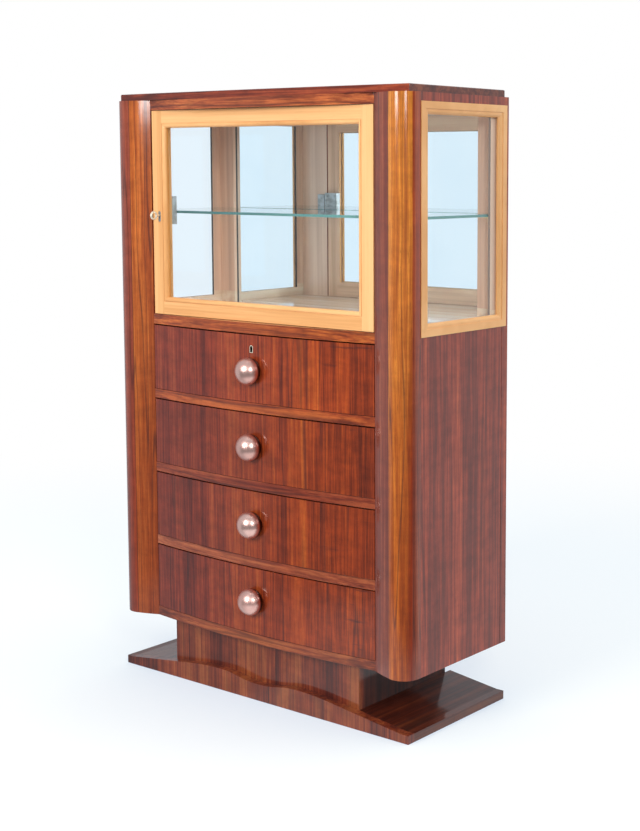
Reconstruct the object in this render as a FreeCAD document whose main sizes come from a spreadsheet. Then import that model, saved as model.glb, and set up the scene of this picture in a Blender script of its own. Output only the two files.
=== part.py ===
import FreeCAD, Part
import math
import os
import re
import Sketcher

# Display cabinet: a bow-fronted case with round front columns, a glazed upper
# part with one door and a window in each side, and four drawers, on a plinth
# that stands on a flared base.
# Millimetres. X to the right, Y to the back, Z up. The origin lies on the
# floor under the middle of the whole cabinet, knobs included.

DRAWERS = 4

SIZES = {
    # Whole case
    "cabinet_width": 898,
    "cabinet_depth": 364,
    "opening_width": 686,
    "bow_rise": 21,
    "side_thickness": 18,
    "back_thickness": 12,
    "post_depth": 22,
    "post_groove": 1.5,
    # Heights from the floor up
    "board_thickness": 12,
    "plinth_height": 126,
    "rail_height": 22,
    "drawer_opening": 157.25,
    "sill_height": 24,
    "door_opening": 481.5,
    "header_height": 23.5,
    "slab_thickness": 16,
    "floor_thickness": 18,
    "top_thickness": 18.5,
    # Round front columns
    "pilaster_depth": 24,
    "column_radius": 38,
    "column_proud": 23,
    "column_turn": 24,
    "flank_radius": 263,
    # Top slab
    "slab_width": 880,
    "slab_back_inset": 4,
    "slab_apex_inset": 6,
    "slab_rise": 11,
    "slab_arris": 1.5,
    # Base
    "base_width": 890,
    "plinth_width": 580,
    "plinth_board": 18,
    "plinth_setback": 28,
    "plinth_back_inset": 20,
    "fascia_thickness": 21,
    "fascia_flat": 20,
    "fascia_end_height": 19,
    "shoulder_at": 220,
    "shoulder_height": 44.6,
    "peak_at": 120,
    "peak_height": 50.85,
    "turn_at": 66,
    "dip_height": 38.7,
    # Rails and runners between the drawers
    "rail_depth": 46,
    "runner_lap": 43,
    "guide_height": 14,
    "guide_width": 20,
    "guide_clearance": 1.5,
    # Side windows
    "window_drop": 6,
    "window_back_inset": 8.4,
    "frame_thickness": 14,
    "frame_proud": 2,
    "frame_width": 27.5,
    "frame_step_at": 15.5,
    "frame_step": 1.5,
    "frame_quirk": 2,
    "frame_edge": 7,
    "frame_round": 9,
    "rabbet_width": 6,
    "glass_thickness": 4,
    "glass_clearance": 0.5,
    "lining_thickness": 6,
    "lining_rail": 27.5,
    "lining_front": 26,
    "lining_rear": 46.6,
    "mirror_thickness": 4,
    "mirror_clearance": 0.5,
    "corner_post_width": 48,
    "corner_post_thickness": 12,
    # Glass shelf
    "shelf_height": 240,
    "shelf_thickness": 6,
    "shelf_clearance": 3,
    "shelf_front_inset": 17,
    "shelf_back_gap": 1,
    "stud_inset": 20,
    "stud_width": 10,
    "stud_reach": 12,
    "stud_thickness": 3,
    "stud_collar": 6,
    "stud_collar_thickness": 2,
    # Door
    "door_setback": 1,
    "door_thickness": 23,
    "door_side_gap": 3.7,
    "door_low_gap": 0.7,
    "door_high_gap": 0.5,
    "stile_width": 32,
    "door_rail_height": 30,
    "moulding_width": 11,
    "moulding_depth": 12,
    "moulding_quirk": 2,
    "moulding_step": 1.2,
    "moulding_proud": 0.8,
    "moulding_flat": 2.5,
    "moulding_edge": 6,
    "moulding_round": 7.5,
    "glass_bead_width": 9,
    # Pivot hinges
    "hinge_inset": 11,
    "hinge_setback": 7,
    "plate_inner": 22,
    "plate_outer": 6,
    "plate_width": 13,
    "plate_thickness": 2,
    "pin_radius": 3,
    "pin_length": 12,
    "pin_fit": 0.05,
    "pin_relief": 0.4,
    # Rim lock and key of the door
    "key_height": 235,
    "key_inset": 21.3,
    "lock_width": 42,
    "lock_above_key": 45,
    "lock_below_key": 21,
    "lock_depth": 14,
    "lock_wall": 2,
    "lock_edge_gap": 0.3,
    "bush_width": 8,
    "bush_above": 6,
    "bush_below": 11,
    "keyhole_radius": 2.6,
    "keyway_width": 2.8,
    "keyway_drop": 8.6,
    "bolt_length": 30,
    "bolt_height": 12,
    "bolt_thickness": 6,
    "bolt_rise": 9,
    "bolt_clearance": 0.3,
    "shank_radius": 2.2,
    "ring_radius": 8.2,
    "ring_wire": 2.5,
    "ring_stand": 18,
    "bit_radius": 8,
    "bit_length": 6,
    "bit_thickness": 2.2,
    # Drawers
    "front_thickness": 22,
    "front_side_gap": 1.5,
    "front_low_gap": 1,
    "front_high_gap": 3,
    "box_side_gap": 2.2,
    "box_low_gap": 0.3,
    "box_height": 125,
    "box_side": 12,
    "box_bottom": 6,
    "box_bottom_rise": 5,
    "box_back_gap": 15,
    # Drawer knobs
    "knob_radius": 31,
    "knob_bulge": 27,
    "knob_rim_radius": 23.5,
    "knob_stand": 13,
    "knob_drop": 5,
    "knob_bore_depth": 18,
    "screw_radius": 2.5,
    "screw_clearance": 0.2,
    "screw_head_radius": 6,
    "screw_head": 3,
    # Lock of the top drawer
    "till_lock_width": 50,
    "till_lock_height": 45,
    "till_lock_depth": 14,
    "till_lock_wall": 2,
    "till_lock_let_in": 2,
    "till_key_drop": 31.6,
    "till_bolt_width": 20,
    "till_bolt_height": 25,
    "till_bolt_thickness": 5,
    "till_bolt_clearance": 0.3,
    "mortise_clearance": 2,
    "mortise_depth": 8,
    "escutcheon_width": 10,
    "escutcheon_height": 17,
    "escutcheon_wall": 1.4,
    "escutcheon_depth": 8,
    "escutcheon_proud": 0.4,
}

# Places worked out from the sizes
PLACES = {
    "half_width": "cabinet_width / 2",
    "opening_half": "opening_width / 2",
    "inner_half": "half_width - side_thickness",
    "knob_reach": "knob_stand + knob_bulge",
    "knob_rim": "knob_radius - knob_rim_radius",
    "knob_cap_radius": "(knob_radius * knob_radius + knob_bulge * knob_bulge"
                       " - 2 * knob_radius * knob_rim_radius) / (2 * (knob_bulge - knob_rim_radius))",
    "knob_cap": "knob_cap_radius - knob_bulge",
    "knob_turn": "knob_cap_radius / (knob_cap_radius - knob_rim_radius)",
    "back_y": "(cabinet_depth + knob_reach) / 2",
    "apex_y": "back_y - cabinet_depth",
    "face_y": "apex_y + bow_rise",
    "carcass_y": "face_y + pilaster_depth",
    "panel_y": "back_y - back_thickness",
    "post_y": "back_y - post_depth",
    "rail_back_y": "face_y + rail_depth",
    "bow_radius": "(opening_half * opening_half + bow_rise * bow_rise) / (2 * bow_rise)",
    "case_low_z": "board_thickness + plinth_height",
    "opening_low_z": "case_low_z + rail_height",
    "drawer_pitch": "drawer_opening + rail_height",
    "sill_low_z": f"opening_low_z + {DRAWERS} * drawer_pitch - rail_height",
    "floor_z": "sill_low_z + sill_height",
    "header_low_z": "floor_z + door_opening",
    "case_high_z": "header_low_z + header_height",
    "top_low_z": "case_high_z - top_thickness",
    "column_x": "half_width - column_radius",
    "column_y": "face_y - column_proud + column_radius",
    "base_half": "base_width / 2",
    "plinth_half": "plinth_width / 2",
    "plinth_y": "apex_y + plinth_setback",
    "plinth_back_y": "back_y - plinth_back_inset",
    "ramp_at": "base_half - fascia_flat",
    "ramp_slope": "(shoulder_height - fascia_end_height) / (ramp_at - shoulder_at)",
    "crest_radius": "((shoulder_at - peak_at) * (shoulder_at - peak_at)"
                    " + (peak_height - shoulder_height) * (peak_height - shoulder_height))"
                    " / (2 * (peak_height - shoulder_height))",
    "wave_turn": "2 * atan((peak_height - dip_height) / peak_at)",
    "swell_radius": "(peak_at - turn_at) / sin(wave_turn)",
    "hollow_radius": "turn_at / sin(wave_turn)",
    "turn_height": "dip_height + hollow_radius * (1 - cos(wave_turn))",
    "slab_half": "slab_width / 2",
    "slab_apex_y": "apex_y + slab_apex_inset",
    "slab_radius": "(slab_half * slab_half + slab_rise * slab_rise) / (2 * slab_rise)",
    "window_low_z": "floor_z - window_drop",
    "window_back_y": "back_y - window_back_inset",
    "window_length": "window_back_y - carcass_y",
    "window_height": "top_low_z - window_low_z",
    "frame_x": "half_width + frame_proud",
    "pane_x": "frame_x - frame_thickness",
    "lining_x": "pane_x - lining_thickness",
    "pane_inset": "frame_width - rabbet_width + glass_clearance",
    "mirror_y": "panel_y - mirror_thickness",
    "corner_post_y": "mirror_y - corner_post_thickness",
    "shelf_low_z": "floor_z + shelf_height",
    "door_half": "opening_half - door_side_gap",
    "door_low_z": "floor_z + door_low_gap",
    "door_high_z": "header_low_z - door_high_gap",
    "door_y": "face_y + door_setback",
    "door_back_y": "door_y + door_thickness",
    "light_half": "door_half - stile_width",
    "light_low_z": "door_low_z + door_rail_height",
    "light_high_z": "door_high_z - door_rail_height",
    "pane_y": "door_y + moulding_depth",
    "pane_back_y": "pane_y + glass_thickness",
    "hinge_x": "opening_half - hinge_inset",
    "hinge_y": "door_y + hinge_setback",
    "key_x": "key_inset - door_half",
    "key_z": "floor_z + key_height",
    "lock_x": "lock_edge_gap - door_half",
    "lock_back_y": "door_back_y + lock_depth",
    "bolt_y": "door_back_y + lock_wall + bolt_clearance",
    "bolt_z": "key_z + bolt_rise",
    "front_half": "opening_half - front_side_gap",
    "box_half": "opening_half - box_side_gap",
    "box_back_y": "panel_y - box_back_gap",
    "front_back_y": "apex_y + front_thickness",
    "till_high_z": "sill_low_z - front_high_gap",
    "till_lock_y": "front_back_y - till_lock_let_in",
    "till_bolt_y": "till_lock_y + till_lock_wall + till_bolt_clearance",
    "till_key_z": "till_high_z - till_key_drop",
}

WORD = re.compile(r"[a-z]+(?:_[a-z]+)*")
ABOUT_X = FreeCAD.Vector(1, 0, 0)
ABOUT_Y = FreeCAD.Vector(0, 1, 0)
ABOUT_Z = FreeCAD.Vector(0, 0, 1)
UPRIGHT = FreeCAD.Rotation()
# Turns that lay the +Z axis of a round piece along X or Y
ALONG = {
    "x": FreeCAD.Rotation(ABOUT_Y, 90),
    "y": FreeCAD.Rotation(ABOUT_X, -90),
    "z": UPRIGHT,
}
# Turn that carries X to Y, Y to Z and Z to X
CYCLE = FreeCAD.Rotation(FreeCAD.Vector(1, 1, 1), 120)
# Spans of every pivot plate of the door
PLATE_X = ("hinge_x - plate_inner", "hinge_x + plate_outer")
PLATE_Y = ("hinge_y - plate_width / 2", "hinge_y + plate_width / 2")

doc = FreeCAD.newDocument("display_cabinet")
sheet = doc.addObject("Spreadsheet::Sheet", "Sizes")
for row, (alias, size) in enumerate(SIZES.items(), start=1):
    sheet.set(f"A{row}", alias.replace("_", " "))
    sheet.set(f"B{row}", str(size))
    sheet.setAlias(f"B{row}", alias)
doc.recompute()


def formula(text):
    """Write a formula of size and place names as an expression on the sheet."""
    def spell(match):
        word = match.group(0)
        if word in SIZES:
            return "Sizes." + word
        if word in PLACES:
            return "(" + formula(PLACES[word]) + ")"
        return word
    return WORD.sub(spell, text)


def value(text):
    """Return what a formula gives with the sheet as it stands."""
    return float(sheet.evalExpression(formula(text)))


def place(thing, corner, turn=UPRIGHT):
    """Tie the place of a thing to three formulas."""
    thing.Placement = FreeCAD.Placement(FreeCAD.Vector(), turn)
    for axis, text in zip("xyz", corner):
        thing.setExpression("Placement.Base." + axis, formula(text))


def box(label, x, y, z):
    """Make a board between a low and a high formula along each axis."""
    board = doc.addObject("Part::Box", label)
    for side, (low, high) in zip(("Length", "Width", "Height"), (x, y, z)):
        board.setExpression(side, formula(f"({high}) - ({low})"))
    place(board, (x[0], y[0], z[0]))
    return board


def rod(label, axis, start, radius, length):
    """Make a round bar that runs from its start along +X, +Y or +Z."""
    bar = doc.addObject("Part::Cylinder", label)
    bar.setExpression("Radius", formula(radius))
    bar.setExpression("Height", formula(length))
    place(bar, start, ALONG[axis])
    return bar


def fuse(label, *pieces):
    """Join solids into one."""
    whole = doc.addObject("Part::MultiFuse", label)
    whole.Shapes = list(pieces)
    whole.Refine = True
    return whole


def cut(label, base, *tools):
    """Take one or more solids away from a base."""
    rest = doc.addObject("Part::Cut", label)
    rest.Base = base
    rest.Tool = tools[0] if len(tools) == 1 else fuse(label + "_tools", *tools)
    return rest


def common(label, first, second):
    """Keep what two solids share."""
    shared = doc.addObject("Part::Common", label)
    shared.Base = first
    shared.Tool = second
    return shared


def group(label, pieces, corner=("0", "0", "0"), turn=UPRIGHT):
    """Hold separate solids of one kind together."""
    held = doc.addObject("Part::Compound", label)
    held.Links = pieces
    place(held, corner, turn)
    return held


def mirrored(label, source):
    """Make the left-hand twin of a right-hand piece."""
    twin = doc.addObject("Part::Mirroring", label)
    twin.Source = source
    twin.Normal = ABOUT_X
    return twin


def bow(label, setback, z):
    """Make the drum whose front is the cabinet's bow, moved back by a setback."""
    return rod(label, "z", ("0", "apex_y + bow_radius", z[0]),
               f"bow_radius - ({setback})", f"({z[1]}) - ({z[0]})")


def bowed(label, x, back, z, setback="0"):
    """Make a board up to a back, whose front end follows the bow."""
    board = box(label + "_board", x, (f"apex_y + {setback} - bow_rise", back), z)
    return common(label, board, bow(label + "_bow", setback, z))


def outline(sketch, corners):
    """Draw a closed outline counterclockwise, pinned to formulas.

    A corner is (u, v), or (u, v, "out" or "in", radius) where a round stretch
    that bulges out of or into the shape leads to the next corner.
    """
    spots = [FreeCAD.Vector(value(corner[0]), value(corner[1]), 0) for corner in corners]
    joins = []
    for number, corner in enumerate(corners):
        start = spots[number]
        end = spots[(number + 1) % len(spots)]
        if len(corner) == 2:
            edge = Part.LineSegment(start, end)
        else:
            chord = end - start
            radius = value(corner[3])
            rise = radius - math.sqrt(max(radius ** 2 - (chord.Length / 2) ** 2, 0))
            away = FreeCAD.Vector(chord.y, -chord.x, 0).normalize()
            side = 1 if corner[2] == "out" else -1
            edge = Part.Arc(start, (start + end) / 2 + away * rise * side, end)
        index = sketch.addGeometry(edge)
        first = 1 if sketch.getPoint(index, 1).isEqual(start, 0.001) else 2
        joins.append((index, first, 3 - first))
        if len(corner) == 4:
            tie(sketch, Sketcher.Constraint("Radius", index, value(corner[3])), corner[3])
    for number, (index, first, last) in enumerate(joins):
        following = joins[(number + 1) % len(joins)]
        sketch.addConstraint(Sketcher.Constraint("Coincident", index, last, following[0], following[1]))
        for kind, text in zip(("DistanceX", "DistanceY"), corners[number]):
            tie(sketch, Sketcher.Constraint(kind, -1, 1, index, first, value(text)), text)
    return sketch


def tie(sketch, constraint, text):
    """Add a constraint whose value follows a formula."""
    index = sketch.addConstraint(constraint)
    sketch.setExpression(f"Constraints[{index}]", formula(text))


def flat_sketch(body, label, plane, offset, corners):
    """Draw an outline on one of a body's origin planes, moved along its normal."""
    sketch = body.newObject("Sketcher::SketchObject", label)
    support = [face for face in body.Origin.OriginFeatures if face.Role == plane]
    sketch.AttachmentSupport = (support[0], [""])
    sketch.MapMode = "FlatFace"
    sketch.setExpression("AttachmentOffset.Base.z", formula(offset))
    return outline(sketch, corners)


def slab(label, plane, offset, corners, length):
    """Make a body from an outline on an origin plane and a thickness along its normal."""
    body = doc.addObject("PartDesign::Body", label)
    sketch = flat_sketch(body, label + "_outline", plane, offset, corners)
    pad = body.newObject("PartDesign::Pad", label + "_pad")
    pad.Profile = (sketch, [""])
    pad.setExpression("Length", formula(length))
    return body


def mitred_frame(label, length, height, width, profile, corner, turn):
    """Make four mitred mouldings round a rectangle that lies flat, face up.

    The profile is drawn with u inward from the outer edge and v up from the face.
    """
    section = doc.addObject("Sketcher::SketchObject", label + "_profile")
    outline(section, profile)
    heights = [value(spot[1]) for spot in profile]
    low = profile[heights.index(min(heights))][1]
    high = profile[heights.index(max(heights))][1]
    members = []
    runs = (("low", length, ("0", "0", "0"), 0), ("right", height, (length, "0", "0"), 90),
            ("high", length, (length, height, "0"), 180), ("left", height, ("0", height, "0"), 270))
    for side, run, start, angle in runs:
        bar = doc.addObject("Part::Extrusion", f"{label}_{side}_bar")
        bar.Base = section
        bar.DirMode = "Normal"
        bar.Solid = True
        bar.setExpression("LengthFwd", formula(run))
        bar.Placement = FreeCAD.Placement(FreeCAD.Vector(), CYCLE)
        mitre = doc.addObject("Part::Wedge", f"{label}_{side}_mitre")
        ends = {"Xmin": "0", "Ymin": "0", "Zmin": low, "Z2min": low, "X2min": width,
                "Xmax": run, "Ymax": width, "Zmax": high, "Z2max": high, "X2max": f"({run}) - ({width})"}
        for name, text in ends.items():
            mitre.setExpression(name, formula(text))
        member = common(f"{label}_{side}", bar, mitre)
        place(member, start, FreeCAD.Rotation(ABOUT_Z, angle))
        members.append(member)
    return group(label, members, corner, turn)


def make_base():
    """The floor board, the wavy fascia before it and a ramped wing at each end."""
    board = box("base_board", ("-base_half", "base_half"), ("plinth_y", "back_y"), ("0", "board_thickness"))
    wave = [
        ("-base_half", "0"),
        ("base_half", "0"),
        ("base_half", "fascia_end_height"),
        ("ramp_at", "fascia_end_height"),
        ("shoulder_at", "shoulder_height", "out", "crest_radius"),
        ("peak_at", "peak_height", "out", "swell_radius"),
        ("turn_at", "turn_height", "in", "hollow_radius"),
        ("-turn_at", "turn_height", "out", "swell_radius"),
        ("-peak_at", "peak_height", "out", "crest_radius"),
        ("-shoulder_at", "shoulder_height"),
        ("-ramp_at", "fascia_end_height"),
        ("-base_half", "fascia_end_height"),
    ]
    fascia = slab("base_fascia", "XZ_Plane", "-plinth_y", wave, "fascia_thickness")
    ramp = [
        ("plinth_half", "board_thickness"),
        ("base_half", "board_thickness"),
        ("base_half", "fascia_end_height"),
        ("ramp_at", "fascia_end_height"),
        ("plinth_half", "fascia_end_height + (ramp_at - plinth_half) * ramp_slope"),
    ]
    wing = slab("base_wing_right", "XZ_Plane", "-back_y", ramp, "back_y - plinth_y")
    return [board, fascia, wing, mirrored("base_wing_left", wing)]


def make_plinth():
    """Four upright boards between the base and the case."""
    tall = ("board_thickness", "case_low_z")
    inner_y = ("plinth_y + plinth_board", "plinth_back_y - plinth_board")
    front = box("plinth_front", ("-plinth_half", "plinth_half"), ("plinth_y", inner_y[0]), tall)
    right = box("plinth_side_right", ("plinth_half - plinth_board", "plinth_half"), inner_y, tall)
    left = box("plinth_side_left", ("-plinth_half", "plinth_board - plinth_half"), inner_y, tall)
    back = box("plinth_back", ("-plinth_half", "plinth_half"), (inner_y[1], "plinth_back_y"), tall)
    return [front, group("plinth_sides", [left, right]), back]


def make_case():
    """The bottom, sides, rear posts, back, inner floor and top of the case."""
    across = ("-inner_half", "inner_half")
    side_x = ("inner_half", "half_width")
    bottom = box("case_bottom", across, ("carcass_y", "panel_y"), ("case_low_z", "opening_low_z"))
    low_z = ("case_low_z", "window_low_z")
    side = cut(
        "side_right",
        box("side_board", side_x, ("carcass_y", "post_y"), low_z),
        box("side_groove", ("half_width - post_groove", "half_width"),
            ("post_y - post_groove", "post_y"), low_z),
    )
    post = cut(
        "rear_post_right",
        box("rear_post_board", side_x, ("post_y", "back_y"), ("case_low_z", "top_low_z")),
        box("rear_post_notch", side_x, ("post_y", "window_back_y"), ("window_low_z", "top_low_z")),
    )
    back = box("back_panel", across, ("panel_y", "back_y"), ("case_low_z", "top_low_z"))
    floor = box("vitrine_floor", across, ("carcass_y", "panel_y"),
                ("floor_z - floor_thickness", "floor_z"))
    top = box("case_top", ("-half_width", "half_width"), ("carcass_y", "back_y"),
              ("top_low_z", "case_high_z"))
    walls = [side, mirrored("side_left", side), post, mirrored("rear_post_left", post)]
    return [bottom] + walls + [back, floor, top]


def make_pilasters():
    """A round column with a flat flank beside each end of the front opening."""
    crisp_x = "column_x - column_radius * sin(column_turn)"
    crisp_y = "column_y - column_radius * cos(column_turn)"
    section = [
        ("opening_half", "face_y", "out", "flank_radius"),
        (crisp_x, crisp_y, "out", "column_radius"),
        ("half_width", "column_y"),
        ("half_width", "carcass_y"),
        ("opening_half", "carcass_y"),
    ]
    right = slab("pilaster_right", "XY_Plane", "case_low_z", section, "case_high_z - case_low_z")
    return [right, mirrored("pilaster_left", right)]


def make_top_slab():
    """The shallow bowed slab on the case, with its top edges eased."""
    plan = [
        ("-slab_half", "slab_apex_y + slab_rise", "out", "slab_radius"),
        ("slab_half", "slab_apex_y + slab_rise"),
        ("slab_half", "back_y - slab_back_inset"),
        ("-slab_half", "back_y - slab_back_inset"),
    ]
    body = slab("top_slab", "XY_Plane", "case_high_z", plan, "slab_thickness")
    doc.recompute()
    block = body.Tip
    faces = block.Shape.Faces
    upper = max(range(len(faces)), key=lambda number: faces[number].CenterOfMass.z)
    arris = body.newObject("PartDesign::Chamfer", "top_slab_arris")
    arris.Base = (block, [f"Face{upper + 1}"])
    arris.setExpression("Size", formula("slab_arris"))
    return [body]


def make_rails():
    """The bowed rails across the front, with the hinge and lock recesses."""
    across = ("-opening_half", "opening_half")
    header_z = ("header_low_z", "case_high_z")
    header = cut(
        "header_rail",
        bowed("header", across, "carcass_y", header_z),
        box("header_recess", PLATE_X, PLATE_Y,
            ("header_low_z", "header_low_z + plate_thickness")),
    )
    bolt_half = "till_bolt_width / 2 + mortise_clearance"
    mortise_y = ("till_bolt_y - mortise_clearance",
                 "till_bolt_y + till_bolt_thickness + mortise_clearance")
    sill = cut(
        "sill_rail",
        bowed("sill", across, "carcass_y", ("sill_low_z", "floor_z")),
        box("sill_recess", PLATE_X, PLATE_Y, ("floor_z - plate_thickness", "floor_z")),
        box("sill_mortise", (f"-({bolt_half})", bolt_half), mortise_y,
            ("sill_low_z", "sill_low_z + mortise_depth")),
    )
    bottom = bowed("bottom_rail", across, "carcass_y", ("case_low_z", "opening_low_z"))
    rails = [header, sill, bottom]
    for number in range(1, DRAWERS):
        high = f"sill_low_z - {number} * drawer_opening - {number - 1} * rail_height"
        rails.append(bowed(f"drawer_rail_{number}", across, "rail_back_y", (f"{high} - rail_height", high)))
    return rails


def make_runners():
    """The side plates that the drawers slide on, and the guide strips beside them."""
    run_y = ("rail_back_y", "panel_y")
    guide_x = ("box_half + guide_clearance", "box_half + guide_clearance + guide_width")
    plate_x = ("opening_half - runner_lap", "inner_half")
    pieces = []
    for number in range(DRAWERS):
        seat = f"opening_low_z + {number} * drawer_pitch"
        pieces.append(box(f"runner_guide_{number}", guide_x, run_y, (seat, f"{seat} + guide_height")))
        if number > 0:
            pieces.append(box(f"runner_plate_{number}", plate_x, run_y, (f"{seat} - rail_height", seat)))
    pieces += [mirrored(piece.Label + "_left", piece) for piece in pieces]
    return [group("drawer_runners", pieces)]


def make_windows():
    """The frame, pane and pale lining of each side window, and the posts that hold the mirror."""
    profile = [
        ("0", "0"),
        ("0", "-frame_thickness"),
        ("frame_width - rabbet_width", "-frame_thickness"),
        ("frame_width - rabbet_width", "glass_thickness - frame_thickness"),
        ("frame_width", "glass_thickness - frame_thickness"),
        ("frame_width", "-frame_edge", "out", "frame_round"),
        ("frame_step_at + frame_quirk", "-frame_step"),
        ("frame_step_at", "-frame_step"),
        ("frame_step_at", "0"),
    ]
    frame = mitred_frame("side_frame_right", "window_length", "window_height", "frame_width", profile,
                         ("frame_x", "carcass_y", "window_low_z"), CYCLE)
    pane = box("side_glass_right", ("pane_x", "pane_x + glass_thickness"),
               ("carcass_y + pane_inset", "window_back_y - pane_inset"),
               ("window_low_z + pane_inset", "top_low_z - pane_inset"))
    lining_x = ("lining_x", "pane_x")
    lining = cut(
        "lining_right",
        box("lining_board", lining_x, ("carcass_y", "window_back_y"), ("window_low_z", "top_low_z")),
        box("lining_light", lining_x, ("carcass_y + lining_front", "window_back_y - lining_rear"),
            ("window_low_z + lining_rail", "top_low_z - lining_rail")),
    )
    post = box("corner_post_right", ("lining_x - corner_post_width", "lining_x"),
               ("corner_post_y", "mirror_y"), ("floor_z", "top_low_z"))
    linings = group("window_linings", [mirrored("lining_left", lining), lining,
                                       mirrored("corner_post_left", post), post])
    return [frame, mirrored("side_frame_left", frame), pane, mirrored("side_glass_left", pane), linings]


def make_vitrine():
    """The mirror back, and the glass shelf on its four studs."""
    mirror = box("mirror", ("mirror_clearance - inner_half", "inner_half - mirror_clearance"),
                 ("mirror_y", "panel_y"), ("floor_z", "top_low_z - mirror_clearance"))
    shelf_half = "lining_x - shelf_clearance"
    shelf = box("shelf_glass", (f"-({shelf_half})", shelf_half),
                ("carcass_y + shelf_front_inset", "corner_post_y - shelf_back_gap"),
                ("shelf_low_z", "shelf_low_z + shelf_thickness"))
    studs = []
    for end, middle in (("front", "carcass_y + stud_inset"), ("rear", "corner_post_y - stud_inset")):
        tab = box(f"stud_{end}_tab", ("lining_x - stud_reach", "lining_x"),
                  (f"{middle} - stud_width / 2", f"{middle} + stud_width / 2"),
                  ("shelf_low_z - stud_thickness", "shelf_low_z"))
        collar = rod(f"stud_{end}_collar", "x",
                     ("lining_x - stud_collar_thickness", middle, "shelf_low_z - stud_collar"),
                     "stud_collar", "stud_collar_thickness")
        stud = fuse(f"stud_{end}", tab, collar)
        studs += [stud, mirrored(f"stud_{end}_left", stud)]
    return [mirror, shelf, group("shelf_studs", studs)]


def make_hinges():
    """Pivot plates let into the sill and header, and into the ends of the door."""
    case_plates = []
    door_plates = []
    ends = (
        ("low", "floor_z - plate_thickness", "door_low_z", "floor_z"),
        ("high", "header_low_z", "door_high_z - plate_thickness", "header_low_z - pin_length"),
    )
    for end, case_z, door_z, pin_z in ends:
        plate = box(f"hinge_{end}_plate", PLATE_X, PLATE_Y, (case_z, f"{case_z} + plate_thickness"))
        pin = rod(f"hinge_{end}_pin", "z", ("hinge_x", "hinge_y", pin_z), "pin_radius", "pin_length")
        case_plates.append(fuse(f"hinge_{end}", plate, pin))
        leaf = box(f"leaf_{end}_plate", PLATE_X, PLATE_Y, (door_z, f"{door_z} + plate_thickness"))
        hole = rod(f"leaf_{end}_hole", "z", ("hinge_x", "hinge_y", door_z),
                   "pin_radius + pin_fit", "plate_thickness")
        door_plates.append(cut(f"leaf_{end}", leaf, hole))
    return [group("hinge_case_plates", case_plates), group("hinge_door_plates", door_plates)]


def make_stiles():
    """The door's stiles: the right one cut for the pivots, the left one for the key."""
    deep = ("door_y", "door_back_y")
    tall = ("door_low_z", "door_high_z")
    ends = (
        ("low", ("door_low_z", "door_low_z + plate_thickness"), "door_low_z"),
        ("high", ("door_high_z - plate_thickness", "door_high_z"), "door_high_z - pin_length"),
    )
    cuts = []
    for end, recess_z, socket_z in ends:
        cuts.append(box(f"stile_{end}_recess", PLATE_X, PLATE_Y, recess_z))
        cuts.append(rod(f"stile_{end}_socket", "z", ("hinge_x", "hinge_y", socket_z),
                        "pin_radius + pin_relief", "pin_length"))
    hinge_board = box("hinge_stile_board", ("light_half", "door_half"), deep, tall)
    hinge_stile = cut("door_stile_right", hinge_board, *cuts)
    lock_stile = cut(
        "door_stile_left",
        box("lock_stile_board", ("-door_half", "-light_half"), deep, tall),
        bush("stile_mortise"),
    )
    return [lock_stile, hinge_stile]


def bush(label):
    """The round-topped bush through the lock stile, which the keyhole goes through."""
    half = "bush_width / 2"
    section = [
        (f"key_x - {half}", "key_z - bush_below", "out", half),
        ("key_x", f"key_z - bush_below - {half}", "out", half),
        (f"key_x + {half}", "key_z - bush_below"),
        (f"key_x + {half}", "key_z + bush_above", "out", half),
        ("key_x", f"key_z + bush_above + {half}", "out", half),
        (f"key_x - {half}", "key_z + bush_above"),
    ]
    return slab(label, "XZ_Plane", "-door_back_y", section, "door_thickness")


def make_door():
    """The door's rails, its moulding, pane and rear beads."""
    deep = ("door_y", "door_back_y")
    between = ("-light_half", "light_half")
    rails = [
        box("door_rail_bottom", between, deep, ("door_low_z", "light_low_z")),
        box("door_rail_top", between, deep, ("light_high_z", "door_high_z")),
    ]
    profile = [
        ("0", "-moulding_step"),
        ("0", "-moulding_depth"),
        ("moulding_width", "-moulding_depth"),
        ("moulding_width", "-moulding_edge", "out", "moulding_round"),
        ("moulding_quirk + moulding_flat", "moulding_proud"),
        ("moulding_quirk", "moulding_proud"),
        ("moulding_quirk", "-moulding_step"),
    ]
    facing = FreeCAD.Rotation(ABOUT_X, 90)
    length = "2 * light_half"
    height = "light_high_z - light_low_z"
    moulding = mitred_frame("door_moulding", length, height, "moulding_width", profile,
                            ("-light_half", "door_y", "light_low_z"), facing)
    bead_depth = "door_back_y - pane_back_y"
    square = [
        ("0", "0"),
        ("0", f"-({bead_depth})"),
        ("glass_bead_width", f"-({bead_depth})"),
        ("glass_bead_width", "0"),
    ]
    beads = mitred_frame("door_glass_bead", length, height, "glass_bead_width", square,
                         ("-light_half", "pane_back_y", "light_low_z"), facing)
    pane = box("door_glass", ("glass_clearance - light_half", "light_half - glass_clearance"),
               ("pane_y", "pane_back_y"),
               ("light_low_z + glass_clearance", "light_high_z - glass_clearance"))
    return rails + [moulding, pane, beads]


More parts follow.
